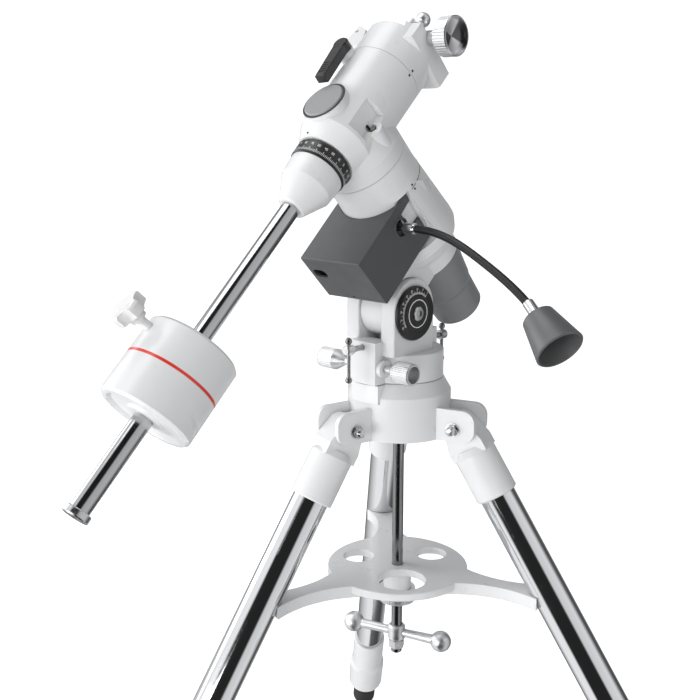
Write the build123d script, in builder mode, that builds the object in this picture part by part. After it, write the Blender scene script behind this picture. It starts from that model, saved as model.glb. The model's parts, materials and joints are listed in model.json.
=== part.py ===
from build123d import *
from math import cos, radians, sin
import os

# Equatorial telescope mount on a three-legged steel stand. Millimetres, +Z up.
# The origin is on the stand's upright axis at ground level. The polar axis leans
# towards -Y, and the latitude dial faces +X.

# ---- stand ------------------------------------------------------------------
LEG_ANGLES = {"a": -102.4, "b": 17.6, "c": 137.6}
LEG_SPLAY = 31.6
LEG_TUBE_R = 19.05
LEG_WALL = 1.6
LOWER_LEG_R = 15.0
HINGE_RADIUS = 69.0
HINGE_Z = 603.0
HEAD_R = 55.0
HEAD_TOP_R = 47.0
HEAD_HEIGHT = 60.0
LUG_INNER = 15.5
LUG_THICKNESS = 6.0
LUG_REACH = 92.0
LUG_HEIGHT = 34.0
BRACKET_R = 22.6
CLAMP_START = 516.0
CLAMP_STEP = 583.0
CLAMP_END = 640.0
CLAMP_KNOB_AT = 614.0
FOOT_R = 17.0
FOOT_CENTRE = 688.5
SPREADER_Z = 434.3
SPREADER_R = 77.0
ROD_R = 6.0
TEE_Z = 352.3
TEE_ANGLE = 17.5
TEE_REACH = 53.0

# ---- azimuth base and latitude fork ------------------------------------------
BASE_Z = 650.2
BASE_R = 46.5
TURNTABLE = 30.0
EAR_OUTER = 33.0
EAR_INNER = 15.0
EAR_FRONT = -47.0
EAR_BACK = 15.0
EAR_ARCH_R = 31.0
LAT_Y = -18.0
LAT_Z = 722.3
BLOCK_FRONT = -58.0
BLOCK_HALF = 17.5
BLOCK_HEIGHT = 44.0
PEG_R = 5.0
PEG_Y = -48.0
AZ_SCREW_Z = 667.0
LAT_SCREW_FRONT_Z = 688.0
LAT_SCREW_REAR_Z = 683.0
FRONT_BAR_Y = 78.0
REAR_BAR_Y = 71.0
BAR_R = 1.9
BAR_BALL_R = 3.6
BAR_HANG = 9.2
LUG_ARM = 36.0
LUG_NOSE_R = 6.0
DIAL_R = 28.0

# ---- polar and declination heads ----------------------------------------------
LATITUDE = 46.0
POLAR_OFFSET = 77.0
DEC_AT = 174.3
POLAR_FRONT = 136.0
POLAR_R = 44.0
WORM_U = 83.0
WORM_A = 36.0
KNUCKLE_R = 27.0
BOX_LEFT = -38.8
BOX_RIGHT = 39.9
BOX_BACK = 44.4
BOX_FRONT = 102.8
BOX_BOTTOM = 100.6
DEC_R = 38.0
DEC_TOP = 75.0
DEC_LOW = -36.0
DEC_TAPER = -18.0
DEC_WORM_X = 33.0
DEC_WORM_UP = 3.8
CLUTCH_UP = 66.0
CLUTCH_X = -17.0
CLUTCH_TILT = 5.0
CLUTCH_SEAT = 43.0
SHAFT_R = 9.0
SHAFT_END = -424.0
WEIGHT_R = 43.8
WEIGHT_TOP = -258.0
WEIGHT_LOW = -335.0
SADDLE_FLOOR = 112.0
SADDLE_SHOULDER = 119.4
SADDLE_TOP = 127.0
SADDLE_BACK = -36.0
SADDLE_FRONT = 27.0
GROOVE_FLOOR_HALF = 22.5
GROOVE_MOUTH_HALF = 19.5
SADDLE_KNOB_ALONG = 8.0
SAFETY_SCREW_ALONG = 22.0
SAFETY_SCREW_X = 30.5

FIT = 0.05

POLAR_DIR = Vector(0, -cos(radians(LATITUDE)), sin(radians(LATITUDE)))
UP_DIR = Vector(0, sin(radians(LATITUDE)), cos(radians(LATITUDE)))
LATITUDE_POINT = Vector(0, LAT_Y, LAT_Z)
POLAR_POINT = LATITUDE_POINT + UP_DIR * POLAR_OFFSET
DEC_POINT = POLAR_POINT + POLAR_DIR * DEC_AT
# POLAR: x across the mount, y away from the counterweight, z up the polar axis.
POLAR = Plane(origin=POLAR_POINT, x_dir=(1, 0, 0), z_dir=POLAR_DIR)
# SIDE: x up the polar axis, y towards the counterweight, z across the mount.
SIDE = Plane(origin=POLAR_POINT, x_dir=POLAR_DIR, z_dir=(1, 0, 0))
# DEC: x across the mount, y down the polar axis, z up the declination axis.
DEC = Plane(origin=DEC_POINT, x_dir=(1, 0, 0), z_dir=UP_DIR)
# DEC_SIDE: x up the polar axis, y across the mount, looking down the declination axis.
DEC_SIDE = Plane(origin=DEC_POINT, x_dir=POLAR_DIR, z_dir=-UP_DIR)


def save(builder, label):
    """Names a finished piece and writes its STEP file."""
    builder.part.label = label
    export_step(builder.part, f"parts/{label}.step")


def turned(plane, outline, mode=Mode.ADD):
    """Revolves a closed (radius, height) outline about the plane's normal."""
    half = Plane(origin=plane.origin, x_dir=plane.x_dir, z_dir=-plane.y_dir)
    with BuildSketch(half) as profile:
        with BuildLine():
            Polyline(*outline, close=True)
        make_face()
    revolve(profile.sketch, axis=Axis(plane.origin, plane.z_dir), mode=mode)


def round_bar(plane, start, end, radius, bore=0.0, mode=Mode.ADD):
    """Adds or cuts a cylinder or tube between two heights above a plane."""
    with BuildSketch(plane.offset(start)) as disc:
        Circle(radius)
        if bore:
            Circle(bore, mode=Mode.SUBTRACT)
    extrude(disc.sketch, amount=end - start, mode=mode)


def slab(plane, x_range, y_range, z_range, mode=Mode.ADD):
    """Adds or cuts a box given by its extents in a plane's own coordinates."""
    width = x_range[1] - x_range[0]
    depth = y_range[1] - y_range[0]
    with BuildSketch(plane.offset(z_range[0])) as face:
        with Locations((x_range[0] + width / 2, y_range[0] + depth / 2)):
            Rectangle(width, depth)
    extrude(face.sketch, amount=z_range[1] - z_range[0], mode=mode)


def prism(plane, corners, z_range, mode=Mode.ADD):
    """Adds or cuts a straight prism with a polygon section."""
    with BuildSketch(plane.offset(z_range[0])) as face:
        with BuildLine():
            Polyline(*corners, close=True)
        make_face()
    extrude(face.sketch, amount=z_range[1] - z_range[0], mode=mode)


def knurl(plane, start, end, radius, count, depth):
    """Cuts straight grooves round a grip."""
    with BuildSketch(plane.offset(start)) as grooves:
        with PolarLocations(radius, count):
            Circle(depth)
    extrude(grooves.sketch, amount=end - start, mode=Mode.SUBTRACT)


def hex_bar(plane, start, end, flats, bore=0.0, mode=Mode.ADD):
    """Adds or cuts a hexagonal bar of a given size across its flats."""
    with BuildSketch(plane.offset(start)) as face:
        RegularPolygon(flats / 2, 6, major_radius=False)
        if bore:
            Circle(bore, mode=Mode.SUBTRACT)
    extrude(face.sketch, amount=end - start, mode=mode)


def leg_plane(angle):
    """Frame of one leg: origin on its hinge bolt, z down the leg, x along the bolt."""
    turn = radians(angle)
    splay = radians(LEG_SPLAY)
    hinge = (HINGE_RADIUS * cos(turn), HINGE_RADIUS * sin(turn), HINGE_Z)
    down = (sin(splay) * cos(turn), sin(splay) * sin(turn), -cos(splay))
    return Plane(origin=hinge, x_dir=(-sin(turn), cos(turn), 0), z_dir=down)


def radial_plane(angle):
    """Upright plane through the stand's axis: x outwards, y up, z across."""
    turn = radians(angle)
    outwards = (cos(turn), sin(turn), 0)
    return Plane(origin=(0, 0, 0), x_dir=outwards, z_dir=(sin(turn), -cos(turn), 0))


# ==== stand ====================================================================
def tripod_head():
    """Hollow casting with a chamfered rim, a boss in front and three pairs of lugs."""
    top = HINGE_Z + 47.0
    low = top - HEAD_HEIGHT
    with BuildPart() as head:
        wall = [
            (ROD_R + 1.0, top),
            (HEAD_TOP_R, top),
            (HEAD_R, top - 14),
            (HEAD_R, low),
            (HEAD_R - 5, low),
            (HEAD_R - 5, top - 12),
            (15, top - 12),
            (15, low + 15),
            (ROD_R + 1.0, low + 15),
        ]
        turned(Plane.XY, wall)
        with BuildSketch(Plane.XY.offset(top - 20)) as boss:
            Circle(HEAD_R + 2.5)
            with Locations((0, -HEAD_R)):
                Rectangle(2 * BLOCK_HALF + 2, 34, mode=Mode.INTERSECT)
        extrude(boss.sketch, amount=19.5)
        for angle in LEG_ANGLES.values():
            for side in (1, -1):
                near = side * LUG_INNER
                far = side * (LUG_INNER + LUG_THICKNESS)
                with BuildSketch(radial_plane(angle).offset(min(near, far))) as lug:
                    with Locations(((HEAD_R - 6 + LUG_REACH) / 2, low + LUG_HEIGHT / 2)):
                        Rectangle(LUG_REACH - HEAD_R + 6, LUG_HEIGHT)
                    fillet(lug.vertices().group_by(Axis.X)[-1], 13)
                    with Locations((HINGE_RADIUS, HINGE_Z)):
                        Circle(4.1, mode=Mode.SUBTRACT)
                extrude(lug.sketch, amount=LUG_THICKNESS)
        round_bar(Plane.XY, low, top + 5, ROD_R + 1.0, mode=Mode.SUBTRACT)
        with BuildSketch(Plane.XY.offset(top - 14)) as socket:
            with Locations((0, PEG_Y)):
                Circle(PEG_R + FIT)
        extrude(socket.sketch, amount=20, mode=Mode.SUBTRACT)
    save(head, "tripod_head")


def azimuth_peg():
    """Upright pin that the two azimuth screws push against."""
    with BuildPart() as peg:
        with BuildSketch(Plane.XY.offset(HINGE_Z + 33.2)) as disc:
            with Locations((0, PEG_Y)):
                Circle(PEG_R)
        extrude(disc.sketch, amount=43)
        chamfer(peg.faces().sort_by(Axis.Z)[-1].edges(), 0.8)
    save(peg, "azimuth_peg")


def leg_hinge_bolts():
    """The three hinge bolts, each with a washer, a hexagon and a domed cap at both ends."""
    outer = LUG_INNER + LUG_THICKNESS + 0.1
    with BuildPart() as bolts:
        for angle in LEG_ANGLES.values():
            bolt = leg_plane(angle)
            across = Plane(origin=bolt.origin, x_dir=bolt.z_dir, z_dir=bolt.x_dir)
            round_bar(across, -outer, outer, 4.0)
            for side in (across, Plane(origin=across.origin, x_dir=across.x_dir, z_dir=-across.z_dir)):
                round_bar(side, outer, outer + 1.2, 7.4)
                hex_bar(side, outer + 1.2, outer + 5.2, 11.0)
                turned(side.offset(outer + 5.2), [(0, 0), (5.2, 0), (4.8, 2.4), (3.2, 4.2), (0, 5.0)])
    save(bolts, "leg_hinge_bolts")


def leg_bracket(name, leg):
    """White casting that joins a leg tube to the stand head."""
    with BuildPart() as bracket:
        across = Plane(origin=leg.origin, x_dir=leg.z_dir, z_dir=leg.x_dir)
        tongue = LUG_INNER - 0.3
        with BuildSketch(across.offset(-tongue)) as cheek:
            Circle(13.3)
            with Locations((27, 0)):
                Rectangle(12, 40)
            make_hull()
        extrude(cheek.sketch, amount=2 * tongue)
        socket = [(0, 26), (18.5, 26), (BRACKET_R, 33), (BRACKET_R, 80.5), (BRACKET_R - 1.5, 82), (0, 82)]
        turned(leg, socket)
        round_bar(leg, 34, 90, LEG_TUBE_R + FIT, mode=Mode.SUBTRACT)
        round_bar(across, -20, 20, 4.1, mode=Mode.SUBTRACT)
    save(bracket, f"leg_bracket_{name}")


def leg_tube(name, leg):
    """Polished outer tube of a leg."""
    with BuildPart() as tube:
        round_bar(leg, 35, 578, LEG_TUBE_R, LEG_TUBE_R - LEG_WALL)
    save(tube, f"leg_tube_{name}")


def leg_clamp(name, leg):
    """Stepped casting at the tube's lower end, with a boss for its clamp knob."""
    out = Plane(origin=leg.origin + leg.z_dir * CLAMP_KNOB_AT, x_dir=leg.x_dir, z_dir=leg.y_dir)
    upper = 22.6
    lower = 25.5
    with BuildPart() as clamp:
        body = [
            (0, CLAMP_START),
            (upper - 1, CLAMP_START),
            (upper, CLAMP_START + 1),
            (upper, CLAMP_STEP - 2),
            (lower, CLAMP_STEP + 2),
            (lower, CLAMP_END - 2),
            (lower - 2, CLAMP_END),
            (0, CLAMP_END),
        ]
        turned(leg, body)
        round_bar(out, 15, 35, 9.5)
        round_bar(leg, CLAMP_START - 1, 580, LEG_TUBE_R + FIT, mode=Mode.SUBTRACT)
        round_bar(leg, 579, CLAMP_END + 1, LOWER_LEG_R + FIT, mode=Mode.SUBTRACT)
        round_bar(out, 12, 36, 4.1, mode=Mode.SUBTRACT)
    save(clamp, f"leg_clamp_{name}")


def clamp_knob(name, leg):
    """Thumb knob that locks the lower leg."""
    out = Plane(origin=leg.origin + leg.z_dir * CLAMP_KNOB_AT, x_dir=leg.x_dir, z_dir=leg.y_dir)
    with BuildPart() as knob:
        round_bar(out, 15.3, 40, 4.0)
        turned(out, [(0, 37), (9, 37), (9, 42), (15, 44), (15, 55), (13, 57), (0, 57)])
        with BuildSketch(out.offset(43)) as scallops:
            with PolarLocations(18.5, 5):
                Circle(7)
        extrude(scallops.sketch, amount=16, mode=Mode.SUBTRACT)
    save(knob, f"clamp_knob_{name}")


def lower_leg(name, leg):
    """Inner tube that slides out to lengthen a leg."""
    with BuildPart() as tube:
        round_bar(leg, 300, 686, LOWER_LEG_R, LOWER_LEG_R - LEG_WALL)
    save(tube, f"lower_leg_{name}")


def foot(name, leg):
    """Rubber foot with a rounded sole, cut flat where it meets the ground."""
    with BuildPart() as shoe:
        sleeve = [(0, 660), (FOOT_R - 1.5, 660), (FOOT_R, 661.5), (FOOT_R, FOOT_CENTRE), (0, FOOT_CENTRE)]
        turned(leg, sleeve)
        with Locations(leg.offset(FOOT_CENTRE).location):
            Sphere(FOOT_R)
        round_bar(leg, 655, 686.3, LOWER_LEG_R + FIT, mode=Mode.SUBTRACT)
        slab(Plane.XY, (-700, 700), (-700, 700), (-40, 0), mode=Mode.SUBTRACT)
    save(shoe, f"foot_{name}")


def spreader_plate():
    """Accessory tray with three eyepiece holes, its arms reaching to the legs."""
    eyepieces = ((-42.4, 42.0, 25.8), (77.6, 47.4, 17.2), (197.6, 47.4, 17.2))
    with BuildPart() as tray:
        round_bar(Plane.XY, SPREADER_Z - 8, SPREADER_Z, SPREADER_R)
        chamfer(tray.edges().group_by(Axis.Z)[-1], 0.8)
        for angle in LEG_ANGLES.values():
            outwards = (cos(radians(angle)), sin(radians(angle)), 0)
            turn = Plane(origin=(0, 0, SPREADER_Z - 13), x_dir=outwards)
            with BuildSketch(turn) as arm:
                with BuildLine():
                    upper = ThreePointArc((66, 24), (108, 10.5), (163, 19))
                    end = Line(upper @ 1, (163, -19))
                    lower = ThreePointArc(end @ 1, (108, -10.5), (66, -24))
                    Line(lower @ 1, upper @ 0)
                make_face()
            extrude(arm.sketch, amount=13)
            with BuildSketch(turn.offset(-1)) as hollow:
                with Locations((112, 0)):
                    SlotOverall(70, 13)
            extrude(hollow.sketch, amount=10, mode=Mode.SUBTRACT)
        round_bar(Plane.XY, 407.3, SPREADER_Z - 1, 15.4)
        round_bar(Plane.XY, 400, SPREADER_Z + 1, ROD_R + 0.4, mode=Mode.SUBTRACT)
        for angle, distance, radius in eyepieces:
            with BuildSketch(Plane.XY.offset(SPREADER_Z - 30)) as hole:
                with PolarLocations(distance, 1, start_angle=angle):
                    Circle(radius)
            extrude(hole.sketch, amount=31, mode=Mode.SUBTRACT)
        for angle in LEG_ANGLES.values():
            round_bar(leg_plane(angle), 100, 300, LEG_TUBE_R + 0.3, mode=Mode.SUBTRACT)
    save(tray, "spreader_plate")


def spreader_nut():
    """Knurled nut that draws the tray up against the legs."""
    with BuildPart() as nut:
        round_bar(Plane.XY, 392.3, 407.0, 20.0, ROD_R + 0.1)
        knurl(Plane.XY, 391, 408, 20.3, 40, 0.9)
    save(nut, "spreader_nut")


def centre_rod():
    """Steel rod from the mount base down through the stand and the tray."""
    with BuildPart() as rod:
        round_bar(Plane.XY, 328, 672, ROD_R)
        chamfer(rod.edges(), 1.0)
    save(rod, "centre_rod")


def tee_handle():
    """Cross handle with a ball at each end, for turning the centre rod."""
    turn = radians(TEE_ANGLE)
    along = Plane(origin=(0, 0, TEE_Z), x_dir=(0, 0, 1), z_dir=(cos(turn), sin(turn), 0))
    with BuildPart() as tee:
        hub = [(0, -9), (8, -9), (9.5, -7), (9.5, 7), (8, 9), (0, 9)]
        turned(Plane.XY.offset(TEE_Z), hub)
        for side in (along, Plane(origin=along.origin, x_dir=(0, 0, 1), z_dir=-along.z_dir)):
            turned(side, [(0, 0), (4.4, 0), (5.4, 45), (0, 45)])
            with Locations(side.offset(TEE_REACH).location):
                Sphere(11.5)
        round_bar(Plane.XY, TEE_Z - 20, TEE_Z + 20, ROD_R + FIT, mode=Mode.SUBTRACT)
    save(tee, "tee_handle")


def rod_end_nut():
    """Lock nut under the cross handle."""
    with BuildPart() as nut:
        hex_bar(Plane.XY, 334.2, 343.0, 15.5, ROD_R + FIT)
    save(nut, "rod_end_nut")


# ==== azimuth base ==============================================================
def azimuth_base():
    """Turntable casting with its fork ears, front block and rear boss."""
    block_top = BASE_Z + BLOCK_HEIGHT
    with BuildPart() as base:
        rim = [
            (0, BASE_Z),
            (BASE_R - 0.8, BASE_Z),
            (BASE_R, BASE_Z + 0.8),
            (BASE_R, BASE_Z + TURNTABLE - 1),
            (BASE_R - 1, BASE_Z + TURNTABLE),
            (0, BASE_Z + TURNTABLE),
        ]
        turned(Plane.XY, rim)
        for inner in (EAR_INNER, -EAR_OUTER):
            with BuildSketch(Plane.YZ.offset(inner)) as ear:
                with Locations((-16, 726)):
                    Circle(EAR_ARCH_R)
                with Locations((-16, 703)):
                    Rectangle(EAR_BACK - EAR_FRONT, 46)
            extrude(ear.sketch, amount=EAR_OUTER - EAR_INNER)
        front = base.edges().filter_by(Axis.Z).group_by(Axis.Y)[0]
        chamfer(front, 1.0)
        slab(Plane.XY, (-BLOCK_HALF, BLOCK_HALF), (BLOCK_FRONT, -36), (BASE_Z, block_top))
        slab(Plane.XY, (-13, 13), (12, 46), (BASE_Z + 8, 697))
        for side in (1, -1):
            flank = Plane(origin=(0, PEG_Y, AZ_SCREW_Z), x_dir=(0, 0, 1), z_dir=(side, 0, 0))
            round_bar(flank, BLOCK_HALF - 1, BLOCK_HALF + 5.5, 9.0)
        slab(Plane.XY, (-12, 12), (-54.5, -41), (BASE_Z - 1, BASE_Z + 31), mode=Mode.SUBTRACT)
        slab(Plane.XY, (-EAR_INNER, EAR_INNER), (-36, 12), (BASE_Z + 24.5, 720), mode=Mode.SUBTRACT)
        across = Plane(origin=(0, PEG_Y, AZ_SCREW_Z), x_dir=(0, 0, 1), z_dir=(1, 0, 0))
        round_bar(across, -40, 40, 3.6, mode=Mode.SUBTRACT)
        pivot = Plane(origin=(0, LAT_Y, LAT_Z), x_dir=(0, 0, 1), z_dir=(1, 0, 0))
        round_bar(pivot, -50, 50, 6.0 + FIT, mode=Mode.SUBTRACT)
        front_screw = Plane(origin=(0, 0, LAT_SCREW_FRONT_Z), x_dir=(1, 0, 0), z_dir=(0, -1, 0))
        round_bar(front_screw, 30, 70, 3.1, mode=Mode.SUBTRACT)
        rear_screw = Plane(origin=(0, 0, LAT_SCREW_REAR_Z), x_dir=(1, 0, 0), z_dir=(0, 1, 0))
        round_bar(rear_screw, 5, 60, 3.1, mode=Mode.SUBTRACT)
        round_bar(Plane.XY, BASE_Z - 1, 674.5, ROD_R + 0.6, mode=Mode.SUBTRACT)
    save(base, "azimuth_base")


def azimuth_knob(name, side, reach):
    """Azimuth screw: its tip meets the peg, its knurled cup is open outwards."""
    out = Plane(origin=(0, PEG_Y, AZ_SCREW_Z), x_dir=(0, 0, 1), z_dir=(side, 0, 0))
    with BuildPart() as knob:
        stem = [(0, PEG_R + 0.3), (3.5, PEG_R + 0.3), (3.5, 31)]
        cup = [(11, reach - 21), (11, reach - 1), (10.2, reach), (8.6, reach)]
        turned(out, stem + cup + [(8.6, reach - 16), (0, reach - 16)])
        knurl(out, reach - 20, reach - 1, 11.3, 30, 0.75)
    save(knob, f"azimuth_knob_{name}")


def latitude_screw(name, toward, height, tip, bar):
    """Shank of a latitude screw, from the polar head's lug to the handle."""
    out = Plane(origin=(0, 0, height), x_dir=(1, 0, 0), z_dir=(0, toward, 0))
    with BuildPart() as screw:
        turned(out, [(0, tip), (2.4, tip), (3.0, tip + 1), (3.0, bar - 5), (0, bar - 5)])
    save(screw, f"latitude_screw_{name}")


def tommy_bar(name, toward, height, bar, reach):
    """Latitude screw's handle: a round head and a hanging cross bar with a ball at each end."""
    drop = reach - BAR_HANG
    out = Plane(origin=(0, 0, height), x_dir=(1, 0, 0), z_dir=(0, toward, 0))
    with BuildPart() as rod:
        turned(out, [(0, bar - 4.5), (5.2, bar - 4.5), (5.2, bar + 4), (4.2, bar + 5), (0, bar + 5)])
        middle = Plane(origin=(0, toward * bar, height - drop), x_dir=(1, 0, 0), z_dir=(0, 0, 1))
        round_bar(middle, -reach, reach, BAR_R)
        for end in (-reach, reach):
            with Locations(middle.offset(end).location):
                Sphere(BAR_BALL_R)
    save(rod, f"tommy_bar_{name}")


def latitude_bolt():
    """Pivot bolt through the fork ears, with a hexagon head on the far side."""
    pivot = Plane(origin=(0, LAT_Y, LAT_Z), x_dir=(0, 0, 1), z_dir=(1, 0, 0))
    with BuildPart() as bolt:
        round_bar(pivot, -EAR_OUTER - 0.5, EAR_OUTER + 0.4, 6.0)
        round_bar(pivot, -EAR_OUTER - 2.2, -EAR_OUTER - 0.2, 12.5)
        hex_bar(pivot, -EAR_OUTER - 10, -EAR_OUTER - 2.2, 17.0)
    save(bolt, "latitude_bolt")


def latitude_dial():
    """Round latitude scale with a raised plain centre cap."""
    pivot = Plane(origin=(0, LAT_Y, LAT_Z), x_dir=(0, 0, 1), z_dir=(1, 0, 0))
    start = EAR_OUTER + 0.5
    with BuildPart() as dial:
        face = [
            (0, start),
            (DIAL_R, start),
            (DIAL_R, start + 2.5),
            (DIAL_R - 1, start + 4),
            (18.5, start + 4.6),
            (18.5, start + 5.4),
            (17.5, start + 6),
            (0, start + 6),
        ]
        turned(pivot, face)
    save(dial, "latitude_dial")


# ==== polar head ==================================================================
def polar_housing():
    """Polar tube with its latitude pivot, pushing lug, side pads and drive opening."""
    pivot = Plane(origin=(0, LAT_Y, LAT_Z), x_dir=(0, 0, 1), z_dir=(1, 0, 0))
    with BuildPart() as housing:
        tube = [
            (0, -4),
            (36, -4),
            (37, -3),
            (37, 12),
            (46, 22),
            (49, 30),
            (49, 36),
            (POLAR_R, 113),
            (POLAR_R, POLAR_FRONT),
            (0, POLAR_FRONT),
        ]
        turned(POLAR, tube)
        web = [(-4, 0), (-4, 42), (-14, 62), (-14, 92), (24, 92), (43, 70), (43, 0)]
        prism(SIDE, web, (-27, 27))
        slab(SIDE, (42, 105), (8, 60), (BOX_RIGHT - 2.9, 60), mode=Mode.SUBTRACT)
        pad = [(46, -9), (98, -14), (106, -4), (102, 8), (46, 11)]
        prism(SIDE, pad, (30, 44.5))
        round_bar(pivot, -40, 40, EAR_ARCH_R + 4.5, mode=Mode.SUBTRACT)
        knuckle = EAR_INNER - 0.3
        round_bar(pivot, -knuckle, knuckle, KNUCKLE_R)
        slab(SIDE, (-8, 34), (40, 72), (-knuckle, knuckle))
        slab(Plane.XY, (-7, 7), (LAT_Y - LUG_NOSE_R, LAT_Y + LUG_NOSE_R), (LAT_Z - LUG_ARM, LAT_Z - 12))
        nose = Plane(origin=(0, LAT_Y, LAT_Z - LUG_ARM), x_dir=(0, 0, 1), z_dir=(1, 0, 0))
        round_bar(nose, -7, 7, LUG_NOSE_R)
        round_bar(pivot, -50, 50, 6.0 + FIT, mode=Mode.SUBTRACT)
        round_bar(POLAR, -5, 20, 18.0 + FIT, mode=Mode.SUBTRACT)
        round_bar(POLAR, 19, 119, 31.0, mode=Mode.SUBTRACT)
        round_bar(POLAR, 118, POLAR_FRONT + 1, 18.0 + FIT, mode=Mode.SUBTRACT)
        slab(SIDE, (WORM_U - 10, WORM_U + 10), (18, 60), (-36, 36), mode=Mode.SUBTRACT)
        flank = Plane(origin=POLAR_POINT + POLAR_DIR * 122, x_dir=POLAR_DIR, z_dir=(-1, 0, 0))
        round_bar(flank, 30, 49, 8.0)
        round_bar(POLAR, 118, POLAR_FRONT + 1, 18.0 + FIT, mode=Mode.SUBTRACT)
        round_bar(flank, 25, 50, 3.1, mode=Mode.SUBTRACT)
    save(housing, "polar_housing")


def polar_shaft():
    """Hollow shaft that carries the declination head in the polar housing."""
    with BuildPart() as shaft:
        round_bar(POLAR, 0, 145, 18.0, 14.0)
    save(shaft, "polar_shaft")


def worm_wheel(label, plane, start, end, radius, bore, teeth):
    """Bronze wheel with straight tooth gaps round its rim."""
    with BuildPart() as wheel:
        round_bar(plane, start, end, radius, bore)
        knurl(plane, start - 1, end + 1, radius + 0.2, teeth, 0.62)
    save(wheel, label)


def worm(label, plane, reach, radius, shaft_radius):
    """Worm with ring-cut threads in the middle of its shaft."""
    with BuildPart() as screw:
        round_bar(plane, reach[0], reach[1], shaft_radius)
        round_bar(plane, reach[2], reach[3], radius)
        turns = int((reach[3] - reach[2]) / 2)
        for index in range(turns):
            start = reach[2] + 0.5 + 2 * index
            round_bar(plane, start, start + 1, radius + 1, radius - 1, mode=Mode.SUBTRACT)
    save(screw, label)


def ra_worm_line():
    """Frame on the polar worm's axis: z across the mount."""
    start = SIDE.from_local_coords((WORM_U, WORM_A, 0))
    return Plane(origin=start, x_dir=POLAR_DIR, z_dir=(1, 0, 0))


def motor_box():
    """Plastic drive cover under the polar tube, open towards it."""
    wall = 2.6
    with BuildPart() as cover:
        outline = [(BOX_BACK, 14), (BOX_BACK, BOX_BOTTOM), (BOX_FRONT, BOX_BOTTOM), (BOX_FRONT, 10.5)]
        prism(SIDE, outline, (BOX_LEFT, BOX_RIGHT))
        fillet(cover.edges().filter_by(Axis.X), 1.5)
        inner = [
            (BOX_BACK + wall, -5),
            (BOX_BACK + wall, BOX_BOTTOM - wall),
            (BOX_FRONT - wall, BOX_BOTTOM - wall),
            (BOX_FRONT - wall, -5),
        ]
        prism(SIDE, inner, (BOX_LEFT + wall, BOX_RIGHT - wall), mode=Mode.SUBTRACT)
        tube = [(0, 0), (49.6, 0), (49.6, 36), (POLAR_R + 0.6, 113), (0, 113)]
        turned(POLAR, tube, mode=Mode.SUBTRACT)
        cheek = [(BOX_BACK, 12), (BOX_BACK, 34), (BOX_FRONT, 34), (BOX_FRONT, 9)]
        prism(SIDE, cheek, (BOX_RIGHT - wall, BOX_RIGHT))
        notch = [(94, 0), (92, 27), (74, 27), (71, 20), (71, 0)]
        prism(SIDE, notch, (BOX_RIGHT - wall - 1, BOX_RIGHT + 1), mode=Mode.SUBTRACT)
        round_bar(ra_worm_line(), 30, 45, 8.5, mode=Mode.SUBTRACT)
        floor = Plane(origin=POLAR_POINT - UP_DIR * BOX_BOTTOM, x_dir=(1, 0, 0), z_dir=-UP_DIR)
        with BuildSketch(floor.offset(-5)) as socket:
            with Locations((-26, 80.7)):
                SlotOverall(18, 11.5)
            with Locations((-1.2, 48.6)):
                Circle(1.4)
        extrude(socket.sketch, amount=8, mode=Mode.SUBTRACT)
    save(cover, "motor_box")


def ra_clutch_lever():
    """Lever on the polar housing's far side that frees the polar axis."""
    flank = Plane(origin=POLAR_POINT + POLAR_DIR * 122, x_dir=POLAR_DIR, z_dir=(-1, 0, 0))
    clutch_lever(flank, 49.2, 44, -1, "ra_clutch_lever")


def clutch_lever(plane, start, length, direction, label):
    """Tapered plastic lever on a screw stem."""
    with BuildPart() as lever:
        round_bar(plane, start - 8, start + 3, 3.0)
        with BuildSketch(plane.offset(start)) as arm:
            with BuildLine():
                tip = direction * length
                Polyline((0, -7), (tip, -5), (tip, 7), (0, 7), close=True)
            make_face()
            Circle(8)
        extrude(arm.sketch, amount=9)
        chamfer(lever.faces().sort_by(Axis(plane.origin, plane.z_dir))[-1].edges(), 1.2)
        with BuildSketch(plane.offset(start + 8)) as grip:
            with GridLocations(3.0, 0, 5, 1):
                with Locations((direction * (length - 12), 1)):
                    Rectangle(1.0, 9)
        extrude(grip.sketch, amount=2, mode=Mode.SUBTRACT)
    save(lever, label)


def polar_scope():
    """Polar alignment telescope inside the polar shaft."""
    with BuildPart() as scope:
        eyepiece = [(0, -56), (12, -56), (15, -52), (15, -26), (20, -24), (20, -6)]
        turned(POLAR, eyepiece + [(13.7, -6), (13.7, 92), (0, 92)])
        turned(POLAR, [(0, -57), (6, -57), (9, -50), (11.5, -10), (11.5, 93), (0, 93)], mode=Mode.SUBTRACT)
    save(scope, "polar_scope")


def polar_scope_cover():
    """Dark lift-off cover over the polar telescope's eyepiece."""
    with BuildPart() as cover:
        outside = [(0, -89), (26, -89), (28, -87), (29.5, -52), (31, -48), (36, -6), (36, -4.4), (0, -4.4)]
        inside = [(0, -86), (25.5, -86), (27, -51), (33.5, -6), (33.5, -4), (0, -4)]
        turned(POLAR, outside)
        turned(POLAR, inside, mode=Mode.SUBTRACT)
    save(cover, "polar_scope_cover")


CABLE_START = SIDE.from_local_coords((WORM_U, WORM_A, 44.0))
CABLE_END = Vector(205.5, -58.6, 96.5 + BASE_Z)
CABLE_DIR = Vector(0.76, -0.24, -0.60).normalized()
CABLE = Plane(origin=CABLE_END, x_dir=(0, 1, 0), z_dir=CABLE_DIR)


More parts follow.
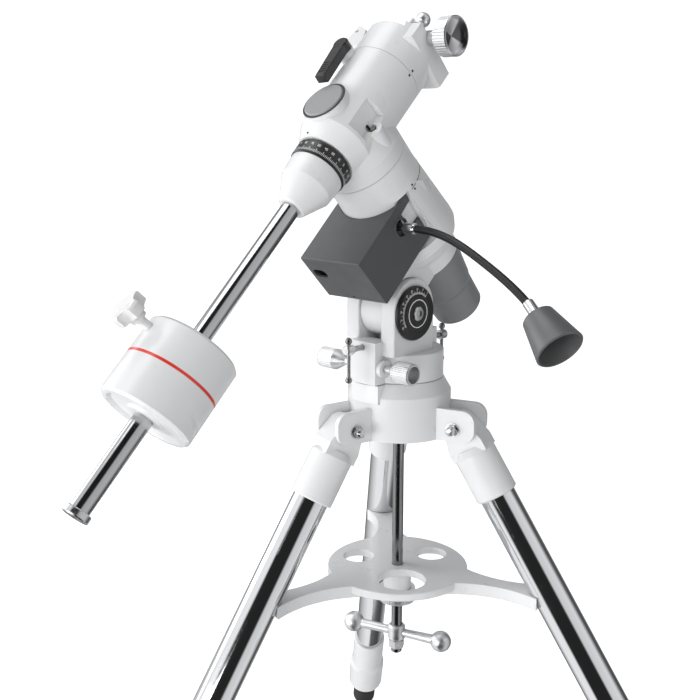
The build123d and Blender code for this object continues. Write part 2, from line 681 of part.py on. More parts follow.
def slow_motion_cable():
    """Flexible drive cable from the worm to the hand knob, with a ferrule at each end."""
    begin = Plane(origin=CABLE_START, x_dir=(0, 1, 0), z_dir=(1, 0, 0))
    middle = CABLE_START + Vector(92, -3.0, -22.0)
    with BuildPart() as cable:
        turned(begin, [(0, 0), (4.6, 0), (5.6, 2), (5.6, 13), (4.6, 15), (0, 15)])
        with BuildLine() as path:
            Spline(CABLE_START + Vector(14, 0, 0), middle, CABLE_END, tangents=[(1, 0, 0), CABLE_DIR])
        with BuildSketch(begin.offset(14)) as section:
            Circle(3.8)
        sweep(section.sketch, path=path.wire())
        turned(CABLE, [(0, -16), (4.4, -16), (5.2, -15), (5.2, 2), (0, 2)])
        round_bar(begin, -1, 9, 3.0 + FIT, mode=Mode.SUBTRACT)
    save(cable, "slow_motion_cable")


def slow_motion_knob():
    """Grey cup-shaped hand knob, open at its wide end."""
    with BuildPart() as knob:
        outside = [(0, 2.2), (14, 2.2), (15, 3.2), (22.3, 40), (21.5, 41), (20.2, 41), (13.4, 5.5), (0, 5.5)]
        turned(CABLE, outside)
    save(knob, "slow_motion_knob")


# ==== declination head ==============================================================
def dec_housing():
    """Casting that crosses the polar and declination axes."""
    clutch = clutch_plane()
    worm_line = dec_worm_line()
    with BuildPart() as housing:
        low = POLAR_FRONT + 0.4
        turned(POLAR, [(0, low), (POLAR_R, low), (POLAR_R, 150), (37, DEC_AT), (0, DEC_AT)])
        turned(DEC, [(0, DEC_TOP), (DEC_R, DEC_TOP), (DEC_R, DEC_TAPER), (29.5, DEC_LOW), (0, DEC_LOW)])
        round_bar(POLAR, DEC_AT, 213.5, 23.0)
        round_bar(worm_line, -32, 4, 10.0)
        round_bar(clutch, 25, CLUTCH_SEAT, 8.5)
        pocket = [(33, -30), (2, -30), (-2.5, -52), (33, -52)]
        prism(DEC_SIDE, pocket, (-20, 14), mode=Mode.SUBTRACT)
        round_bar(DEC, DEC_LOW - 1, DEC_TOP + 1, 15.0 + FIT, mode=Mode.SUBTRACT)
        round_bar(DEC, DEC_WORM_UP - 9.8, DEC_WORM_UP + 12.2, 28.6, mode=Mode.SUBTRACT)
        round_bar(worm_line, -28.3, -1.8, 6.2, mode=Mode.SUBTRACT)
        hex_bar(worm_line, -2.3, 5.7, 9.6, mode=Mode.SUBTRACT)
        round_bar(POLAR, POLAR_FRONT, 146, 18.0 + FIT, mode=Mode.SUBTRACT)
        round_bar(POLAR, 145, 220, 11.0, mode=Mode.SUBTRACT)
        round_bar(DEC, -60, DEC_LOW, 29.5, mode=Mode.SUBTRACT)
        round_bar(POLAR, 211.3, 214, 20.6, mode=Mode.SUBTRACT)
        round_bar(clutch, 20, CLUTCH_SEAT + 1, 3.1, mode=Mode.SUBTRACT)
    save(housing, "dec_housing")


def clutch_plane():
    """Frame of the declination clutch: z forwards, x down the axis with a slight lean."""
    lean = radians(CLUTCH_TILT)
    down = Vector(1, 0, 0) * sin(lean) - UP_DIR * cos(lean)
    centre = DEC_POINT + UP_DIR * CLUTCH_UP + Vector(CLUTCH_X, 0, 0)
    return Plane(origin=centre, x_dir=down, z_dir=POLAR_DIR)


def dec_worm_line():
    """Frame on the declination worm's axis: z up the polar axis."""
    centre = DEC_POINT + Vector(DEC_WORM_X, 0, 0) + UP_DIR * DEC_WORM_UP
    return Plane(origin=centre, x_dir=(1, 0, 0), z_dir=POLAR_DIR)


def polar_front_cap():
    """Grey lift-off cap in front of the polar sight hole."""
    with BuildPart() as cap:
        turned(POLAR, [(0, 211.4), (20.4, 211.4), (20.4, 214.6), (19.4, 215.6), (0, 215.6)])
    save(cap, "polar_front_cap")


def dec_shaft():
    """Hollow declination shaft with a cross hole on the line of the polar telescope."""
    with BuildPart() as shaft:
        round_bar(DEC, DEC_LOW - 0.2, 82, 15.0, 6.0)
        round_bar(POLAR, 150, 200, 10.0, mode=Mode.SUBTRACT)
    save(shaft, "dec_shaft")


def dec_setting_circle():
    """Black graduated ring above the nose."""
    with BuildPart() as ring:
        body = [(20.05, -37), (27.4, -37), (28.4, -38.5), (28.4, -51.5), (27.6, -53), (20.05, -53)]
        turned(DEC, body)
    save(ring, "dec_setting_circle")


def dec_nose():
    """Tapered nose that holds the counterweight shaft."""
    with BuildPart() as nose:
        body = [
            (0, DEC_LOW - 0.4),
            (20, DEC_LOW - 0.4),
            (20, -53.2),
            (27.2, -53.2),
            (27.2, -58),
            (25.8, -73),
            (13.6, -97.5),
            (12.6, -98.5),
            (0, -98.5),
        ]
        turned(DEC, body)
        round_bar(DEC, -100, -58, SHAFT_R + FIT, mode=Mode.SUBTRACT)
    save(nose, "dec_nose")


def dec_clutch_lever():
    """Black lever that frees the declination axis."""
    clutch_lever(clutch_plane(), CLUTCH_SEAT + 0.4, 46, 1, "dec_clutch_lever")


def counterweight_shaft():
    """Polished bar that carries the counterweight."""
    with BuildPart() as bar:
        round_bar(DEC, SHAFT_END, -59, SHAFT_R)
    save(bar, "counterweight_shaft")


def shaft_end_stop():
    """Screwed disc that keeps the counterweight on its bar."""
    with BuildPart() as stop:
        top = SHAFT_END - 0.2
        turned(DEC, [(0, top), (11.2, top), (12, -425), (12, -430), (11.2, -431), (0, -431)])
        hex_bar(DEC, -432, -429.5, 5.0, mode=Mode.SUBTRACT)
    save(stop, "shaft_end_stop")


def weight_knob_plane():
    """Frame of the counterweight's lock knob: z outwards."""
    turn = radians(11.0)
    out = POLAR_DIR * cos(turn) + Vector(-1, 0, 0) * sin(turn)
    return Plane(origin=DEC_POINT - UP_DIR * 272, x_dir=UP_DIR, z_dir=out)


def counterweight():
    """Round weight with a dished lower face and a radial hole for its lock knob."""
    with BuildPart() as weight:
        body = [
            (SHAFT_R + 0.08, WEIGHT_TOP),
            (WEIGHT_R - 2.5, WEIGHT_TOP),
            (WEIGHT_R, WEIGHT_TOP - 2.5),
            (WEIGHT_R, WEIGHT_LOW + 2.5),
            (WEIGHT_R - 2.5, WEIGHT_LOW),
            (WEIGHT_R - 7, WEIGHT_LOW),
            (WEIGHT_R - 10, WEIGHT_LOW + 3),
            (18, WEIGHT_LOW + 3),
            (16, WEIGHT_LOW + 1),
            (SHAFT_R + 0.08, WEIGHT_LOW + 1),
        ]
        turned(DEC, body)
        round_bar(weight_knob_plane(), 5, 50, 4.1, mode=Mode.SUBTRACT)
        round_bar(DEC, WEIGHT_LOW - 1, WEIGHT_TOP + 1, SHAFT_R + 0.08, mode=Mode.SUBTRACT)
    save(weight, "counterweight")


def counterweight_knob():
    """Lobed knob on a threaded stem that locks the counterweight."""
    out = weight_knob_plane()
    with BuildPart() as knob:
        round_bar(out, SHAFT_R + 0.6, 60, 4.0)
        turned(out, [(0, 55), (7.5, 55), (7.5, 60), (15.5, 62), (16, 63), (16, 71), (14.5, 73), (0, 73)])
        with BuildSketch(out.offset(61)) as scallops:
            with PolarLocations(19.5, 4, start_angle=45):
                Circle(8.5)
        extrude(scallops.sketch, amount=13, mode=Mode.SUBTRACT)
    save(knob, "counterweight_knob")


def saddle_knob_line():
    """Frame on the saddle knob's axis: z across the mount."""
    centre = DEC_POINT + POLAR_DIR * SADDLE_KNOB_ALONG + UP_DIR * SADDLE_SHOULDER
    return Plane(origin=centre, x_dir=POLAR_DIR, z_dir=(1, 0, 0))


def safety_screw_line():
    """Frame on the safety screw's axis: z up the declination axis."""
    centre = DEC_POINT + POLAR_DIR * SAFETY_SCREW_ALONG + Vector(SAFETY_SCREW_X, 0, 0)
    return Plane(origin=centre, x_dir=(1, 0, 0), z_dir=UP_DIR)


def saddle():
    """Dovetail saddle: a round neck, a jaw with the screws and a lip with a side wing."""
    across = Plane(origin=DEC_POINT, x_dir=(1, 0, 0), z_dir=POLAR_DIR)
    jaw_edge = 22.9
    jaw = [
        (14, 98),
        (GROOVE_FLOOR_HALF, SADDLE_FLOOR - 1),
        (GROOVE_MOUTH_HALF, SADDLE_TOP),
        (jaw_edge, SADDLE_TOP),
        (jaw_edge, SADDLE_SHOULDER),
        (37.5, SADDLE_SHOULDER),
        (37.5, 100),
        (34, 98),
    ]
    lip = [(-14, 100), (-GROOVE_MOUTH_HALF, SADDLE_TOP), (-31, SADDLE_TOP), (-33, 100)]
    wing = [(-52, 90), (-46.4, 123.6), (-32, 115.9), (-24.5, 93.7)]
    groove = [
        (-GROOVE_FLOOR_HALF, SADDLE_FLOOR),
        (GROOVE_FLOOR_HALF, SADDLE_FLOOR),
        (GROOVE_MOUTH_HALF, SADDLE_TOP + 1),
        (-GROOVE_MOUTH_HALF, SADDLE_TOP + 1),
    ]
    with BuildPart() as top:
        turned(DEC, [(0, DEC_TOP + 0.4), (DEC_R, DEC_TOP + 0.4), (DEC_R, 118), (0, 118)])
        prism(across, jaw, (SADDLE_BACK, SADDLE_FRONT))
        prism(across, lip, (-27, 12))
        prism(across, wing, (-27, 27))
        round_bar(saddle_knob_line(), 21, 38, 7.0)
        prism(across, groove, (-60, 60), mode=Mode.SUBTRACT)
        with BuildSketch(across.offset(SADDLE_FRONT - 5)) as sockets:
            with Locations((-47.0, 95.5), (-43.5, 114.5)):
                Circle(1.9)
        extrude(sockets.sketch, amount=6, mode=Mode.SUBTRACT)
        round_bar(DEC, DEC_TOP, 82.2, 15.0 + FIT, mode=Mode.SUBTRACT)
        round_bar(saddle_knob_line(), 10, 45, 3.6, mode=Mode.SUBTRACT)
        round_bar(safety_screw_line(), 103, 130, 3.1, mode=Mode.SUBTRACT)
    save(top, "saddle")


def saddle_knob():
    """Large knurled knob that clamps the telescope's dovetail bar."""
    out = saddle_knob_line()
    with BuildPart() as knob:
        stem = [(0, 21), (3.5, 21), (3.5, 38.5), (7, 39), (7, 46)]
        grip = [(13, 54), (19, 55), (19, 69), (18, 70), (16.8, 70), (16.8, 65), (0, 63)]
        turned(out, stem + grip)
        knurl(out, 54, 69, 19.4, 44, 0.85)
    save(knob, "saddle_knob")


def saddle_safety_screw():
    """Small ball-headed screw that holds the dovetail bar if the large knob is loosened."""
    axis = safety_screw_line()
    with BuildPart() as screw:
        washer = [(6.5, SADDLE_SHOULDER + 0.2), (6.5, SADDLE_SHOULDER + 1.8)]
        shank = [(0, 104), (3, 104), (3, SADDLE_SHOULDER + 0.2)]
        turned(axis, shank + washer + [(3.4, SADDLE_SHOULDER + 1.8), (3.4, 124), (0, 124)])
        with Locations(axis.offset(129).location):
            Sphere(7.3)
    save(screw, "saddle_safety_screw")


def main():
    os.makedirs("parts", exist_ok=True)
    tripod_head()
    azimuth_peg()
    leg_hinge_bolts()
    for name, angle in LEG_ANGLES.items():
        leg = leg_plane(angle)
        leg_bracket(name, leg)
        leg_tube(name, leg)
        leg_clamp(name, leg)
        clamp_knob(name, leg)
        lower_leg(name, leg)
        foot(name, leg)
    spreader_plate()
    spreader_nut()
    centre_rod()
    tee_handle()
    rod_end_nut()
    azimuth_base()
    azimuth_knob("left", -1, 66.0)
    azimuth_knob("right", 1, 60.0)
    front_tip = -LAT_Y + LUG_NOSE_R + 1.8
    rear_tip = LAT_Y + LUG_NOSE_R + 0.6
    latitude_screw("front", -1, LAT_SCREW_FRONT_Z, front_tip, FRONT_BAR_Y)
    latitude_screw("rear", 1, LAT_SCREW_REAR_Z, rear_tip, REAR_BAR_Y)
    tommy_bar("front", -1, LAT_SCREW_FRONT_Z, FRONT_BAR_Y, 20.0)
    tommy_bar("rear", 1, LAT_SCREW_REAR_Z, REAR_BAR_Y, 18.0)
    latitude_bolt()
    latitude_dial()
    polar_housing()
    polar_shaft()
    worm_wheel("ra_worm_wheel", POLAR, WORM_U - 7, WORM_U + 7, 28.2, 18.0 + FIT, 144)
    worm("ra_worm", ra_worm_line(), (-30, 52, -16, 16), 7.0, 3.0)
    motor_box()
    ra_clutch_lever()
    polar_scope()
    polar_scope_cover()
    slow_motion_cable()
    slow_motion_knob()
    dec_housing()
    polar_front_cap()
    dec_shaft()
    worm_wheel("dec_worm_wheel", DEC, DEC_WORM_UP - 6.5, DEC_WORM_UP + 6.5, 27.2, 15.0 + FIT, 120)
    worm("dec_worm", dec_worm_line(), (-26, 0, -20, -4), 5.2, 2.6)
    dec_setting_circle()
    dec_nose()
    dec_clutch_lever()
    counterweight_shaft()
    shaft_end_stop()
    counterweight()
    counterweight_knob()
    saddle()
    saddle_knob()
    saddle_safety_screw()


main()
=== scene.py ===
import json
from math import cos, pi, radians, sin

import bmesh
import bpy
from mathutils import Matrix, Vector


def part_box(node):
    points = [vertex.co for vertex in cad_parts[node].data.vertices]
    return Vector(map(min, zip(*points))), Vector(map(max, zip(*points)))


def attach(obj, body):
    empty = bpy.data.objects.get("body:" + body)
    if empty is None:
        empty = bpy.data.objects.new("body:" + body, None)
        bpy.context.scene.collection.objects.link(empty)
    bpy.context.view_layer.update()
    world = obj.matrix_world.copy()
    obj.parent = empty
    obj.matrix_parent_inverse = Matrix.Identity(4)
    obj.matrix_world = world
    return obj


# Looks for the equatorial mount. Metres, in the CAD frame: +Z up, latitude dial on +X.

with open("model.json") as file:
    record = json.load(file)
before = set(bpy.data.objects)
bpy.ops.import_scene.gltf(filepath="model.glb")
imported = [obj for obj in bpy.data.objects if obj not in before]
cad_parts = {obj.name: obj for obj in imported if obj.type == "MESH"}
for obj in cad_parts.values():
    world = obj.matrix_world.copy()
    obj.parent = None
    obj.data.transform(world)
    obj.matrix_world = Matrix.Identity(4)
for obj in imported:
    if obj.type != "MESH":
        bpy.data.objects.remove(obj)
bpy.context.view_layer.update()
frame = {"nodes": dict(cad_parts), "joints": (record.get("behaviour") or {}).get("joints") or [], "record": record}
NODES = frame["nodes"]
JOINTS = {j["name"]: j for j in frame["joints"]}


def joint_place(name):
    return Vector(JOINTS[name]["pos_m"])


# ---- places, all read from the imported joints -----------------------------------
LATITUDE_POINT = joint_place("latitude")
POLAR_POINT = joint_place("right_ascension")
POLAR_DIR = Vector(JOINTS["right_ascension"]["axis"]).normalized()
DEC_POINT = joint_place("declination")
UP_DIR = Vector(JOINTS["declination"]["axis"]).normalized()
CABLE_END = joint_place("slow_motion_knob_turn")
ACROSS = Vector((1, 0, 0))
MM = 0.001
CREASE = radians(32)


# ==== node materials ==============================================================
class Shader:
    """A node material under construction; values may be numbers or other nodes' outputs."""

    def __init__(self, name):
        self.material = bpy.data.materials.new(name)
        self.material.use_nodes = True
        self.tree = self.material.node_tree
        self.tree.nodes.clear()
        coords = self.node("ShaderNodeTexCoord")
        self.place = coords.outputs["Object"]

    def node(self, kind, settings=None, **inputs):
        made = self.tree.nodes.new(kind)
        for key, value in (settings or {}).items():
            setattr(made, key, value)
        for key, value in inputs.items():
            self.feed(made.inputs[key.replace("_", " ")], value)
        return made

    def feed(self, socket, value):
        if isinstance(value, bpy.types.NodeSocket):
            self.tree.links.new(value, socket)
        else:
            socket.default_value = value

    def math(self, operation, first, second=0.0):
        made = self.node("ShaderNodeMath", {"operation": operation})
        self.feed(made.inputs[0], first)
        self.feed(made.inputs[1], second)
        return made.outputs[0]

    def vector(self, operation, first, second=None):
        made = self.node("ShaderNodeVectorMath", {"operation": operation})
        self.feed(made.inputs[0], first)
        if second is not None:
            self.feed(made.inputs[1], second)
        scalar = operation in ("DOT_PRODUCT", "LENGTH")
        return made.outputs["Value" if scalar else "Vector"]

    def along(self, axis, origin=(0, 0, 0)):
        """Distance of the shaded point from a point, measured along an axis."""
        offset = self.vector("SUBTRACT", self.place, tuple(origin))
        return self.vector("DOT_PRODUCT", offset, tuple(axis))

    def noise(self, scale, detail=2.0, roughness=0.5, place=None):
        made = self.node("ShaderNodeTexNoise", Scale=scale, Detail=detail, Roughness=roughness)
        self.feed(made.inputs["Vector"], place or self.place)
        return made.outputs["Fac"]

    def rings(self, length, frequency, detail):
        """Noise that changes along one distance only, as turning lines do."""
        stretched = self.math("MULTIPLY", length, frequency)
        return self.noise(1.0, detail, 0.8, self.node("ShaderNodeCombineXYZ", X=stretched).outputs[0])

    def radial(self, first, second):
        """Distance from an axis, from the distances along two directions across it."""
        squares = self.math("ADD", self.math("POWER", first, 2.0), self.math("POWER", second, 2.0))
        return self.math("SQRT", squares)

    def remap(self, value, low, high, to_low, to_high, smooth=False):
        settings = {"interpolation_type": "SMOOTHSTEP" if smooth else "LINEAR"}
        made = self.node("ShaderNodeMapRange", settings, Value=value)
        for key, number in (("From Min", low), ("From Max", high), ("To Min", to_low), ("To Max", to_high)):
            self.feed(made.inputs[key], number)
        return made.outputs["Result"]

    def mix(self, factor, first, second):
        made = self.node("ShaderNodeMix", {"data_type": "RGBA"})
        self.feed(made.inputs["Factor"], factor)
        self.feed(made.inputs[6], first)
        self.feed(made.inputs[7], second)
        return made.outputs[2]

    def bevel(self, radius):
        """Normal with its edges rounded off by a radius."""
        return self.node("ShaderNodeBevel", {"samples": 4}, Radius=radius).outputs["Normal"]

    def bump(self, height, strength, distance, normal):
        made = self.node("ShaderNodeBump", Strength=strength, Distance=distance, Height=height)
        self.feed(made.inputs["Normal"], normal)
        return made.outputs["Normal"]

    def edges(self, rounded):
        """1 on sharp edges and 0 on flats, from how far the rounded normal leans away."""
        geometry = self.node("ShaderNodeNewGeometry")
        facing = self.vector("DOT_PRODUCT", rounded, geometry.outputs["Normal"])
        return self.remap(facing, 0.995, 0.93, 0.0, 1.0, smooth=True)

    def crevice(self, distance):
        """0 in tight corners, rising to 1 on open surfaces."""
        made = self.node("ShaderNodeAmbientOcclusion", {"samples": 6}, Distance=distance)
        return made.outputs["AO"]

    def finish(self, **inputs):
        surface = self.node("ShaderNodeBsdfPrincipled", **inputs)
        output = self.node("ShaderNodeOutputMaterial")
        self.tree.links.new(surface.outputs["BSDF"], output.inputs["Surface"])
        return self.material


def grey(value, warmth=0.0):
    """A near-neutral colour."""
    return (value * (1 + warmth), value, value * (1 - warmth), 1.0)


def enamel(name, tone, stripe=None):
    """Satin enamel: faint orange peel, uneven sheen, rubbed edges and painted shade darkening the corners."""
    s = Shader(name)
    rounded = s.bevel(0.7 * MM)
    worn = s.math("MULTIPLY", s.edges(rounded), s.remap(s.noise(260, 4.0), 0.45, 0.75, 0.0, 1.0))
    patches = s.remap(s.noise(14, 3.0), 0.3, 0.7, 0.985, 1.0)
    # painted shade: occlusion darkens the enamel in tight corners and between parts, where shade falls
    painted_corner_shade = s.remap(s.crevice(6 * MM), 0.2, 0.8, 0.84, 1.0)
    shade = s.math("MULTIPLY", patches, painted_corner_shade)
    base = s.mix(s.math("MULTIPLY", worn, 0.10), grey(tone, -0.008), grey(tone * 0.8))
    if stripe:
        base = s.mix(stripe(s), base, (0.75, 0.035, 0.018, 1))
    colour = s.mix(shade, grey(0.0), base)
    sheen = s.remap(s.noise(34, 5.0, 0.6), 0.3, 0.7, 0.26, 0.38)
    peel = s.bump(s.noise(620, 2.0), 0.10, 0.06 * MM, rounded)
    return s.finish(Base_Color=colour, Roughness=sheen, Normal=peel, Coat_Weight=0.25, Coat_Roughness=0.12)


def weight_stripe(s):
    """Mask of the red line round the counterweight."""
    height = s.along(UP_DIR, DEC_POINT)
    middle = s.math("ABSOLUTE", s.math("ADD", height, 294.5 * MM))
    return s.remap(middle, 1.25 * MM, 1.45 * MM, 1.0, 0.0)


def moulded(name, tone, roughness, grain, warmth=0.0, coat=0.0):
    """Moulded plastic: fine spark-eroded grain, edges lightened partly by wear and partly by a painted highlight,
    soft tone changes.
    """
    s = Shader(name)
    rounded = s.bevel(0.6 * MM)
    # edges lightened: partly wear from rubbing, partly a painted edge highlight
    worn_and_highlit_edges = s.math("MULTIPLY", s.edges(rounded), s.remap(s.noise(190, 3.0), 0.4, 0.7, 0.2, 0.8))
    flow = s.remap(s.noise(9, 2.0), 0.3, 0.7, 0.94, 1.04)
    base = s.mix(worn_and_highlit_edges, grey(tone, warmth), grey(min(tone * 1.7 + 0.01, 1.0), warmth))
    colour = s.vector("MULTIPLY", base, s.node("ShaderNodeCombineXYZ", X=flow, Y=flow, Z=flow).outputs[0])
    sheen = s.remap(s.noise(60, 4.0), 0.3, 0.7, roughness - 0.05, roughness + 0.06)
    texture = s.bump(s.noise(grain, 2.0, 0.7), 0.22, 0.08 * MM, rounded)
    return s.finish(Base_Color=colour, Roughness=sheen, Normal=texture, Coat_Weight=coat)


def polished(name, tone, axis, roughness=0.05, lines=0.05):
    """Polished tube or bar: fine turning lines round its axis and faint hand smears."""
    s = Shader(name)
    rings = s.rings(s.along(axis), 2600, 3.0)
    smears = s.remap(s.noise(22, 5.0, 0.65), 0.35, 0.75, 0.0, 0.07)
    sheen = s.math("ADD", s.remap(rings, 0.3, 0.7, roughness * 0.7, roughness * 1.4), smears)
    normal = s.bump(rings, lines, 0.02 * MM, s.bevel(0.4 * MM))
    colour = s.mix(s.remap(smears, 0.0, 0.07, 0.0, 0.12), grey(tone, -0.01), grey(tone * 0.8))
    return s.finish(Base_Color=colour, Metallic=1.0, Roughness=sheen, Normal=normal)


def plated(name, tone, roughness):
    """Plated fasteners and knobs: bright, with slight pitting and painted shade darkening them where they meet
    other parts.
    """
    s = Shader(name)
    rounded = s.bevel(0.3 * MM)
    # painted shade: occlusion darkens the plating where it meets other parts, where shade falls
    painted_root_shade = s.remap(s.crevice(2.0 * MM), 0.3, 0.95, 0.45, 1.0)
    colour = s.mix(painted_root_shade, grey(0.10), grey(tone, -0.008))
    sheen = s.remap(s.noise(300, 4.0), 0.3, 0.7, roughness * 0.7, roughness * 1.5)
    normal = s.bump(s.noise(1500, 2.0), 0.02, 0.02 * MM, rounded)
    return s.finish(Base_Color=colour, Metallic=1.0, Roughness=sheen, Normal=normal)


def bar_handle(name, centre):
    """Screw handle: a plated head on a darker cross bar with its balls."""
    s = Shader(name)
    distance = s.radial(s.along(ACROSS, centre), s.along(Vector((0, 0, 1)), centre))
    head = s.remap(distance, 5.3 * MM, 5.6 * MM, 1.0, 0.0)
    sheen = s.remap(s.noise(300, 4.0), 0.3, 0.7, 0.22, 0.42)
    normal = s.bump(s.noise(1500, 2.0), 0.02, 0.02 * MM, s.bevel(0.3 * MM))
    colour = s.mix(head, grey(0.28), grey(0.66))
    return s.finish(Base_Color=colour, Metallic=1.0, Roughness=sheen, Normal=normal)


# Direction of the dark sectors of the painted reflection on a spun face.
PAINTED_REFLECTION_DARK_ANGLE = radians(115)


def spun(name, tone, centre, axis, body_roughness, bright_radius):
    """Plated knob whose dished end face is spun metal, with a painted reflection of light and dark sectors across
    that face, and painted shade where the knob meets other parts.
    """
    s = Shader(name)
    first = s.along(POLAR_DIR, centre)
    second = s.along(UP_DIR, centre)
    distance = s.radial(first, second)
    angle = s.math("ARCTAN2", second, first)
    # painted reflection: light and dark sectors painted across the spun face by angle
    reflection_lobes = s.math("COSINE", s.math("MULTIPLY", s.math("SUBTRACT", angle, PAINTED_REFLECTION_DARK_ANGLE), 2.0))
    painted_reflection_fan = s.remap(reflection_lobes, -0.1, 0.35, 1.0, 0.13, smooth=True)
    rings = s.rings(distance, 4200, 2.0)
    outward = s.node("ShaderNodeNewGeometry").outputs["Normal"]
    facing = s.remap(s.vector("DOT_PRODUCT", outward, tuple(axis)), 0.8, 0.9, 0.0, 1.0)
    face = s.math("MULTIPLY", facing, s.remap(distance, bright_radius, bright_radius + 0.4 * MM, 1.0, 0.0))
    # painted shade: occlusion darkens the knob body where it meets other parts
    painted_root_shade = s.remap(s.crevice(2.0 * MM), 0.3, 0.95, 0.45, 1.0)
    body = s.mix(painted_root_shade, grey(0.12), grey(tone, -0.008))
    painted_reflection_colour = s.mix(painted_reflection_fan, grey(0.05), grey(tone))
    colour = s.mix(face, body, painted_reflection_colour)
    rough = s.math("ADD", s.math("MULTIPLY", face, 0.30 - body_roughness), body_roughness)
    normal = s.bump(rings, s.math("MULTIPLY", face, 0.12), 0.02 * MM, s.bevel(0.3 * MM))
    return s.finish(Base_Color=colour, Metallic=1.0, Roughness=rough, Normal=normal)


def rubber(name, tone):
    """Dull rubber with a powdery bloom on its edges."""
    s = Shader(name)
    rounded = s.bevel(0.8 * MM)
    bloom = s.remap(s.noise(45, 5.0, 0.6), 0.4, 0.75, 0.0, 0.35)
    colour = s.mix(bloom, grey(tone), grey(tone * 2.2 + 0.01, 0.02))
    normal = s.bump(s.noise(900, 3.0, 0.7), 0.3, 0.1 * MM, rounded)
    return s.finish(Base_Color=colour, Roughness=s.remap(bloom, 0.0, 0.35, 0.62, 0.85), Normal=normal)


def cable_sheath(name):
    """Dark wound sheath between two plated ferrules."""
    s = Shader(name)
    reach = s.vector("LENGTH", s.vector("SUBTRACT", s.place, tuple(CABLE_END)))
    at_knob = s.remap(reach, 15.8 * MM, 16.2 * MM, 1.0, 0.0)
    across = s.along(ACROSS)
    at_box = s.remap(across, 58.8 * MM, 59.2 * MM, 1.0, 0.0)
    ferrule = s.math("MAXIMUM", at_knob, at_box)
    coil = s.node("ShaderNodeTexWave", {"bands_direction": "X"}, Scale=160.0, Distortion=0.0)
    s.feed(coil.inputs["Vector"], s.place)
    winding = s.math("MULTIPLY", coil.outputs["Fac"], s.math("SUBTRACT", 1.0, ferrule))
    normal = s.bump(winding, 0.25, 0.12 * MM, s.bevel(0.3 * MM))
    scuffs = s.remap(s.noise(120, 4.0), 0.35, 0.7, 0.0, 0.10)
    colour = s.mix(ferrule, grey(0.022), grey(0.74))
    rough = s.math("ADD", s.math("SUBTRACT", 0.30, s.math("MULTIPLY", ferrule, 0.12)), scuffs)
    metal = s.math("ADD", s.math("MULTIPLY", ferrule, 0.5), 0.5)
    return s.finish(Base_Color=colour, Metallic=metal, Roughness=rough, Normal=normal)


def machined(name, colour, roughness):
    """Bare machined metal with a fine all-over tool grain and oil stains."""
    s = Shader(name)
    stains = s.remap(s.noise(40, 5.0, 0.6), 0.35, 0.7, 0.75, 1.0)
    base = s.mix(stains, tuple(c * 0.6 for c in colour) + (1,), colour + (1,))
    normal = s.bump(s.noise(1800, 2.0), 0.1, 0.03 * MM, s.bevel(0.25 * MM))
    return s.finish(Base_Color=base, Metallic=1.0, Roughness=roughness, Normal=normal)


def printed(name, tone):
    """Screen-printed ink, a little uneven at its edges."""
    s = Shader(name)
    colour = s.mix(s.remap(s.noise(1500, 3.0), 0.35, 0.6, 0.75, 1.0), grey(tone * 0.7), grey(tone))
    return s.finish(Base_Color=colour, Roughness=0.45)


# ==== mesh pieces ==================================================================
def basis(origin, z_dir, x_dir):
    """Placement matrix with a given origin, z direction and rough x direction."""
    z = Vector(z_dir).normalized()
    y = z.cross(Vector(x_dir)).normalized()
    x = y.cross(z)
    return Matrix.Translation(origin) @ Matrix((x, y, z)).transposed().to_4x4()


def piece(name, body, material, build, place):
    """Makes one mesh from a build function working in a placement's own axes."""
    mesh = bpy.data.meshes.new(name)
    shape = bmesh.new()
    build(shape)
    bmesh.ops.recalc_face_normals(shape, faces=shape.faces)
    shape.transform(place)
    shape.to_mesh(mesh)
    shape.free()
    made = bpy.data.objects.new(name, mesh)
    bpy.context.scene.collection.objects.link(made)
    mesh.materials.append(material)
    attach(made, body)
    smooth(made)
    return made


def smooth(obj):
    """Smooth shading that keeps real creases sharp."""
    shape = bmesh.new()
    shape.from_mesh(obj.data)
    for edge in shape.edges:
        sharp = len(edge.link_faces) == 2 and edge.calc_face_angle(0.0) > CREASE
        edge.smooth = not sharp
    for face in shape.faces:
        face.smooth = True
    shape.to_mesh(obj.data)
    shape.free()


def turned(shape, outline, steps=48):
    """Closed surface of revolution about z from (radius, height) points."""
    rings = []
    for radius, height in outline:
        if radius == 0:
            rings.append([shape.verts.new((0, 0, height))])
            continue
        turns = [2 * pi * index / steps for index in range(steps)]
        rings.append([shape.verts.new((radius * cos(turn), radius * sin(turn), height)) for turn in turns])
    for low, high in zip(rings, rings[1:]):
        for index in range(steps):
            after = (index + 1) % steps
            near, far = low[index % len(low)], low[after % len(low)]
            quad = [near, far, high[after % len(high)], high[index % len(high)]]
            corners = list(dict.fromkeys(quad))
            if len(corners) > 2:
                shape.faces.new(corners)


def ring_ticks(shape, angles, lengths, inner, height, width, thickness):
    """Radial tick marks lying on a face at a height."""
    for angle, length in zip(angles, lengths):
        turn = radians(angle)
        out = Vector((cos(turn), sin(turn), 0))
        side = Vector((-sin(turn), cos(turn), 0))
        mark(shape, out * inner, out * (inner + length), side * width / 2, Vector((0, 0, height)),
             Vector((0, 0, height + thickness)))


def drum_ticks(shape, angles, lengths, radius, start, width, thickness):
    """Tick marks running along the axis of a drum."""
    for angle, length in zip(angles, lengths):
        turn = radians(angle)
        out = Vector((cos(turn), sin(turn), 0))
        side = Vector((-sin(turn), cos(turn), 0))
        mark(shape, Vector((0, 0, start)), Vector((0, 0, start + length)), side * width / 2,
             out * radius, out * (radius + thickness))


def mark(shape, begin, end, half_width, under, over):
    """Thin printed bar between two points."""
    corners = [begin - half_width, begin + half_width, end + half_width, end - half_width]
    low = [shape.verts.new(corner + under) for corner in corners]
    high = [shape.verts.new(corner + over) for corner in corners]
    shape.faces.new(high)
    for index in range(4):
        after = (index + 1) % 4
        shape.faces.new((low[index], low[after], high[after], high[index]))


